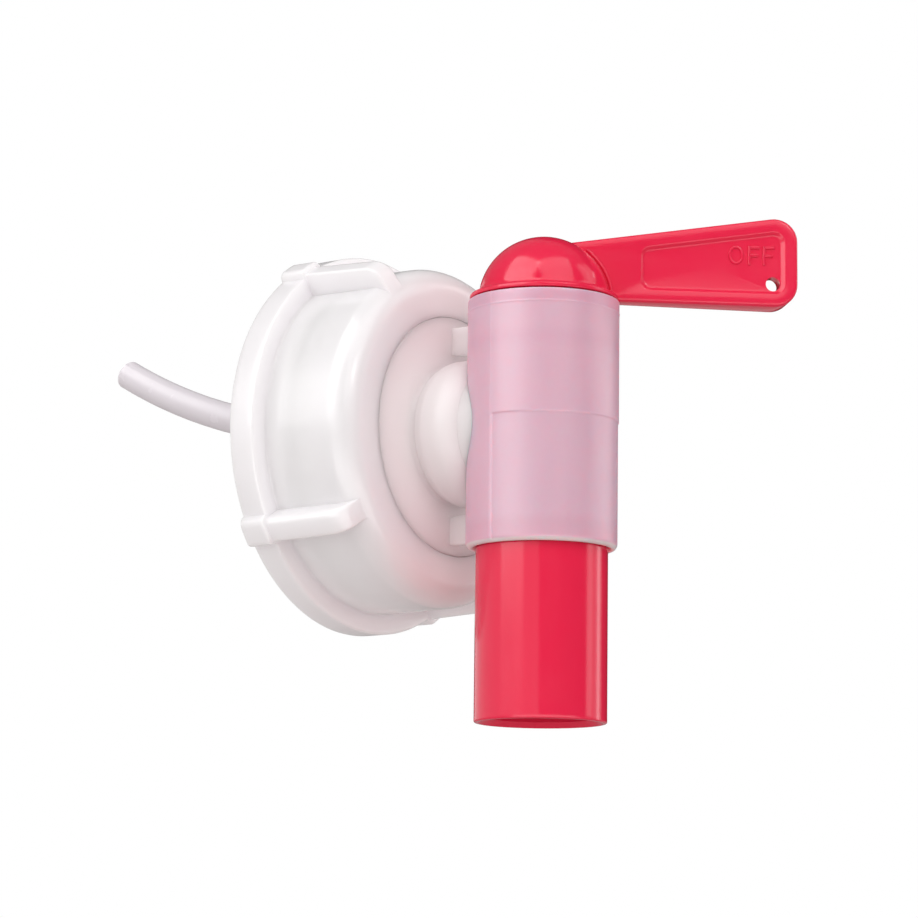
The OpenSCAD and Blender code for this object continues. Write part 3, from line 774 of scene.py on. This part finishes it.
# Air tube
def make_tube():
    """Round wall carried along a straight run and then an upward arc, with both ends slightly rounded.

    The outer skin runs from socket to tip, turns over the tip's rim, and the inner skin runs back."""
    bend_r, start, bend = 135.0, -8.0, math.radians(29)
    swing = np.linspace(0, bend, 70)
    centre_y = np.concatenate([np.linspace(start - 7.0, start, 8)[:-1], start + bend_r * np.sin(swing)])
    centre_z = np.concatenate([np.full(7, TUBE_Z), TUBE_Z + bend_r * (1 - np.cos(swing))])
    heading = np.concatenate([np.zeros(7), swing])
    rows = np.arange(len(centre_y))
    last = rows[-1]
    index = np.concatenate([[0, 0], rows[1:-1], [last] * 4, rows[-2:0:-1], [0, 0]])
    wall = np.concatenate([[2.65, 2.8], np.full(last - 1, 2.8), [2.8, 2.65, 1.95, 1.8], np.full(last - 1, 1.8), [1.8, 1.95]])
    back = np.concatenate([[0, 0.15], np.zeros(last - 1), [-0.15, 0, 0, -0.15], np.zeros(last - 1), [0.15, 0]])
    angle = turns(48)[:, None]
    along_y, along_z = np.cos(heading[index])[None], np.sin(heading[index])[None]
    points = np.stack([
        wall[None] * np.cos(angle),
        (centre_y[index] + back * along_y[0])[None] - wall[None] * np.sin(angle) * along_z,
        (centre_z[index] + back * along_z[0])[None] + wall[None] * np.sin(angle) * along_y,
    ], -1)
    tube = make_object("curved_air_tube", grid(points), TUBE_PLASTIC)
    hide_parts("air_tube")
    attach(tube, "tap_body")


def make_seal():
    """Sealing ring: a rounded section carried round the cap's axis."""
    profile = rounded([(22.5, 15.95, 0.4), (27.8, 15.95, 0.4), (27.8, 17.95, 0.4), (22.5, 17.95, 0.4)], 5, 4)
    angle = turns(160)[:, None] + 0 * profile[:, 0][None]
    seal = make_object("seal_ring", grid(round_y_points(profile[:, 0][None], profile[:, 1][None], angle)), SEAL_RUBBER)
    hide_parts("flange_gasket")
    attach(seal, "tap_body")


# Studio
def add_lamp(name, azimuth, elevation, distance, width, height, power, use="both", colour=(1, 1, 1)):
    """Soft box at an azimuth from +X and an elevation, facing the tap.

    It lights the plastic, or shows as a highlight, or both."""
    aim = Vector((0.0, -0.035, 0.0))
    a, e = math.radians(azimuth), math.radians(elevation)
    away = Vector((math.cos(a) * math.cos(e), math.sin(a) * math.cos(e), math.sin(e)))
    data = bpy.data.lights.new(name, "AREA")
    data.shape = "RECTANGLE"
    data.size, data.size_y = width, height
    data.energy = power
    data.color = colour
    lamp = bpy.data.objects.new(name, data)
    lamp.location = aim + away * distance
    lamp.rotation_euler = away.to_track_quat("Z", "Y").to_euler()
    lamp.visible_camera = False
    lamp.visible_glossy = use != "light"
    lamp.visible_diffuse = use != "highlight"
    bpy.context.collection.objects.link(lamp)


def add_card(name, azimuth, elevation, distance, width, height, paint):
    """Dark card that only shows in reflections, facing the tap."""
    a, e = math.radians(azimuth), math.radians(elevation)
    away = Vector((math.cos(a) * math.cos(e), math.sin(a) * math.cos(e), math.sin(e)))
    mesh = bpy.data.meshes.new(name)
    x, y = width / 2, height / 2
    mesh.from_pydata([(-x, -y, 0), (x, -y, 0), (x, y, 0), (-x, y, 0)], [], [(0, 1, 2, 3)])
    mesh.materials.append(paint)
    card = bpy.data.objects.new(name, mesh)
    card.location = Vector((0.0, -0.035, 0.0)) + away * distance
    card.rotation_euler = away.to_track_quat("Z", "Y").to_euler()
    card.visible_camera = False
    card.visible_diffuse = False
    card.visible_shadow = False
    card.visible_transmission = False
    bpy.context.collection.objects.link(card)


def make_studio():
    """White surroundings for what the camera sees, a dimmer level for the light on the tap, and a pale floor."""
    scene = bpy.context.scene
    scene.view_settings.view_transform = "Standard"
    world = bpy.data.worlds.new("studio")
    scene.world = world
    world.use_nodes = True
    tree = world.node_tree
    tree.nodes.clear()
    rays = tree.nodes.new("ShaderNodeLightPath")
    seen = tree.nodes.new("ShaderNodeMath")
    seen.operation = "MAXIMUM"
    seen_too = tree.nodes.new("ShaderNodeMath")
    seen_too.operation = "MAXIMUM"
    white = tree.nodes.new("ShaderNodeBackground")
    white.inputs["Color"].default_value = (1, 1, 1, 1)
    white.inputs["Strength"].default_value = 1.0
    dim = tree.nodes.new("ShaderNodeBackground")
    dim.inputs["Color"].default_value = (1.0, 0.97, 0.965, 1)
    dim.inputs["Strength"].default_value = 0.74
    blend = tree.nodes.new("ShaderNodeMixShader")
    out = tree.nodes.new("ShaderNodeOutputWorld")
    link(tree, rays.outputs["Is Camera Ray"], seen.inputs[0])
    link(tree, rays.outputs["Is Transmission Ray"], seen.inputs[1])
    link(tree, seen.outputs[0], seen_too.inputs[0])
    link(tree, rays.outputs["Is Glossy Ray"], seen_too.inputs[1])
    link(tree, seen_too.outputs[0], blend.inputs["Fac"])
    link(tree, dim.outputs[0], blend.inputs[1])
    link(tree, white.outputs[0], blend.inputs[2])
    link(tree, blend.outputs[0], out.inputs["Surface"])
    add_lamp("left_box", 165, 16, 0.9, 0.55, 0.85, 1.6, "light", (0.93, 1.0, 1.0))
    add_lamp("top_box", -125, 45, 1.1, 0.75, 0.65, 2.5, "light")
    add_lamp("front_fill", -135, 15, 1.2, 0.9, 0.9, 1.9, "light")
    add_lamp("left_window", 163, 38, 0.9, 0.8, 1.12, 9.0, "highlight")
    add_lamp("front_window", -115, 45, 1.1, 1.0, 1.17, 7.0, "highlight")
    add_lamp("small_window", -110, 28, 1.0, 0.12, 0.12, 0.6, "highlight")
    add_lamp("right_window", -53, 25, 1.0, 0.26, 0.9, 0.9, "highlight")
    add_lamp("right_strip", -28, 5, 0.9, 0.14, 1.0, 0.9)
    add_lamp("low_strip", -135, -40, 0.18, 0.5, 0.16, 0.6, "highlight")
    cloth = bpy.data.materials.new("dark_card")
    cloth.use_nodes = True
    cloth.node_tree.nodes["Principled BSDF"].inputs["Base Color"].default_value = (0.02, 0.02, 0.02, 1)
    cloth.node_tree.nodes["Principled BSDF"].inputs["Roughness"].default_value = 1.0
    grey = cloth.copy()
    grey.node_tree.nodes["Principled BSDF"].inputs["Base Color"].default_value = (0.35, 0.35, 0.35, 1)
    add_card("back_card", 20, 24, 1.55, 2.4, 2.2, cloth)
    add_card("floor_card", 0, -89, 0.125, 1.2, 1.2, grey)
    add_card("front_card", -103, 24, 1.6, 3.3, 2.2, cloth)
    add_card("side_card", 82, 42, 1.5, 2.6, 1.1, grey)
    add_card("top_card", 90, 89, 1.5, 2.4, 2.4, grey)
    floor_mesh = bpy.data.meshes.new("floor")
    side, low = 3.0, -0.13
    floor_mesh.from_pydata([(-side, -side, low), (side, -side, low), (side, side, low), (-side, side, low)], [], [(0, 1, 2, 3)])
    floor = bpy.data.objects.new("floor", floor_mesh)
    bpy.context.collection.objects.link(floor)
    paint = bpy.data.materials.new("pale_floor")
    paint.use_nodes = True
    paint.node_tree.nodes["Principled BSDF"].inputs["Base Color"].default_value = (0.7, 0.67, 0.66, 1)
    paint.node_tree.nodes["Principled BSDF"].inputs["Roughness"].default_value = 0.9
    floor_mesh.materials.append(paint)


make_camera()
make_cap()
make_body()
make_plug()
make_tube()
make_seal()
make_studio()
